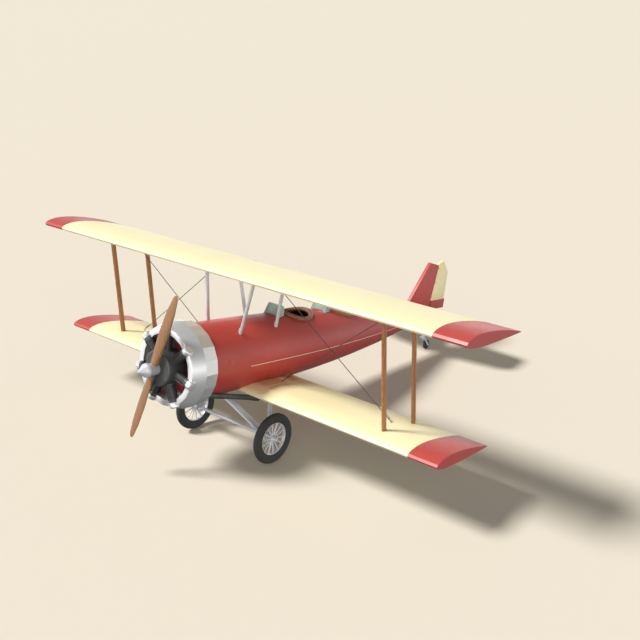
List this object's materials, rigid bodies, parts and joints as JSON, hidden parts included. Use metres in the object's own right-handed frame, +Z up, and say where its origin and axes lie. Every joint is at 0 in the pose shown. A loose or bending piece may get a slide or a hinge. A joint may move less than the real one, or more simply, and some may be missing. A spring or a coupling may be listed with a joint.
{
  "type": "biplane",
  "caption": "Two-seat open-cockpit biplane with radial engine in a ring cowl, wooden propeller, cream fabric wings with red tips, red fuselage and spoked wheels.",
  "frame": {"origin": "centre of the bounding box at ground level, under the aircraft as it stands on its wheels", "axes": "+X to port, +Y towards the tail, +Z up; the nose points along -Y and is pitched up by the tail-down stance"},
  "size_m": [9.2, 8.1467, 3.1599],
  "materials": {
    "cream": "satin doped fabric",
    "red": "satin red paint",
    "cowl_silver": "satin silver",
    "steel_grey": "silver paint",
    "engine_grey": "dark grey enamel",
    "strut_wood": "varnished brown wood",
    "prop_wood": "varnished light brown wood",
    "tyre_black": "matte black rubber",
    "glass": "green tinted clear",
    "leather": "dull brown leather",
    "wire_steel": "dark steel wire",
    "panel_black": "matte black",
    "floor_wood": "plain wood"
  },
  "bodies": {
    "airframe": {"axle": "steel_grey", "cabane_port_front": "steel_grey", "cabane_port_rear": "steel_grey", "cabane_starboard_front": "steel_grey", "cabane_starboard_rear": "steel_grey", "cockpit_floor": "floor_wood", "cowl_ring": "cowl_silver", "exhaust_pipe": "engine_grey", "fin": "red", "front_coaming": "leather", "front_panel": "panel_black", "front_seat": "leather", "front_windscreen": "glass", "fuselage": "red", "gear_brace_port": "steel_grey", "gear_brace_starboard": "steel_grey", "gear_leg_port_front": "steel_grey", "gear_leg_port_rear": "steel_grey", "gear_leg_starboard_front": "steel_grey", "gear_leg_starboard_rear": "steel_grey", "lower_tip_port": "red", "lower_tip_starboard": "red", "lower_wing_port": "cream", "lower_wing_starboard": "cream", "radial_engine": "engine_grey", "rear_coaming": "leather", "rear_panel": "panel_black", "rear_seat": "leather", "rear_windscreen": "glass", "stabiliser_port": "cream", "stabiliser_starboard": "cream", "strut_port_front": "strut_wood", "strut_port_rear": "strut_wood", "strut_starboard_front": "strut_wood", "strut_starboard_rear": "strut_wood", "tail_post": "steel_grey", "upper_tip_port": "red", "upper_tip_starboard": "red", "upper_wing": "cream", "wire_port_flying": "wire_steel", "wire_port_landing": "wire_steel", "wire_starboard_flying": "wire_steel", "wire_starboard_landing": "wire_steel"},
    "propeller": {"propeller_blades": "prop_wood", "propeller_hub": "steel_grey"},
    "wheel_port": {"wheel_port": "steel_grey", "tyre_port": "tyre_black"},
    "wheel_starboard": {"wheel_starboard": "steel_grey", "tyre_starboard": "tyre_black"},
    "tail_caster": {"tail_fork": "steel_grey"},
    "tail_roller": {"tail_wheel": "tyre_black"},
    "rudder": {"rudder": "cream", "rudder_heel": "red"},
    "elevators": {"elevator_port": "cream", "elevator_starboard": "cream"},
    "aileron_port": {"aileron_port": "cream"},
    "aileron_starboard": {"aileron_starboard": "cream"}
  },
  "joints": [
    {"name": "propeller_spin", "type": "hinge", "parent": "airframe", "child": "propeller", "pos_m": [0, -3.79652, 1.88717], "axis": [0, -0.9884, 0.1516], "continuous": true},
    {"name": "wheel_port_spin", "type": "hinge", "parent": "airframe", "child": "wheel_port", "pos_m": [0.928, -2.2179, 0.422], "axis": [1, 0, 0], "continuous": true},
    {"name": "wheel_starboard_spin", "type": "hinge", "parent": "airframe", "child": "wheel_starboard", "pos_m": [-0.928, -2.2179, 0.422], "axis": [1, 0, 0], "continuous": true},
    {"name": "tail_caster_swivel", "type": "hinge", "parent": "airframe", "child": "tail_caster", "pos_m": [0, 3.28961, 0.332], "axis": [0, 0, 1], "range_deg": [-45, 45]},
    {"name": "tail_wheel_spin", "type": "hinge", "parent": "tail_caster", "child": "tail_roller", "pos_m": [0, 3.42525, 0.095], "axis": [1, 0, 0], "continuous": true},
    {"name": "rudder_hinge", "type": "hinge", "parent": "airframe", "child": "rudder", "pos_m": [0, 3.57353, 1.2626], "axis": [0, 0.3592, 0.9332], "range_deg": [-25, 25]},
    {"name": "elevator_hinge", "type": "hinge", "parent": "airframe", "child": "elevators", "pos_m": [0, 3.35027, 0.82641], "axis": [1, 0, 0], "range_deg": [-20, 25]},
    {"name": "aileron_port_hinge", "type": "hinge", "parent": "airframe", "child": "aileron_port", "pos_m": [2.07, -1.3582, 1.02534], "axis": [1, 0, 0], "range_deg": [-20, 20]},
    {"name": "aileron_starboard_hinge", "type": "hinge", "parent": "airframe", "child": "aileron_starboard", "pos_m": [-2.07, -1.3582, 1.02534], "axis": [1, 0, 0], "range_deg": [-20, 20]}
  ],
  "couplings": [
    {"joint": "aileron_starboard_hinge", "follows": "aileron_port_hinge", "ratio": -1}
  ]
}
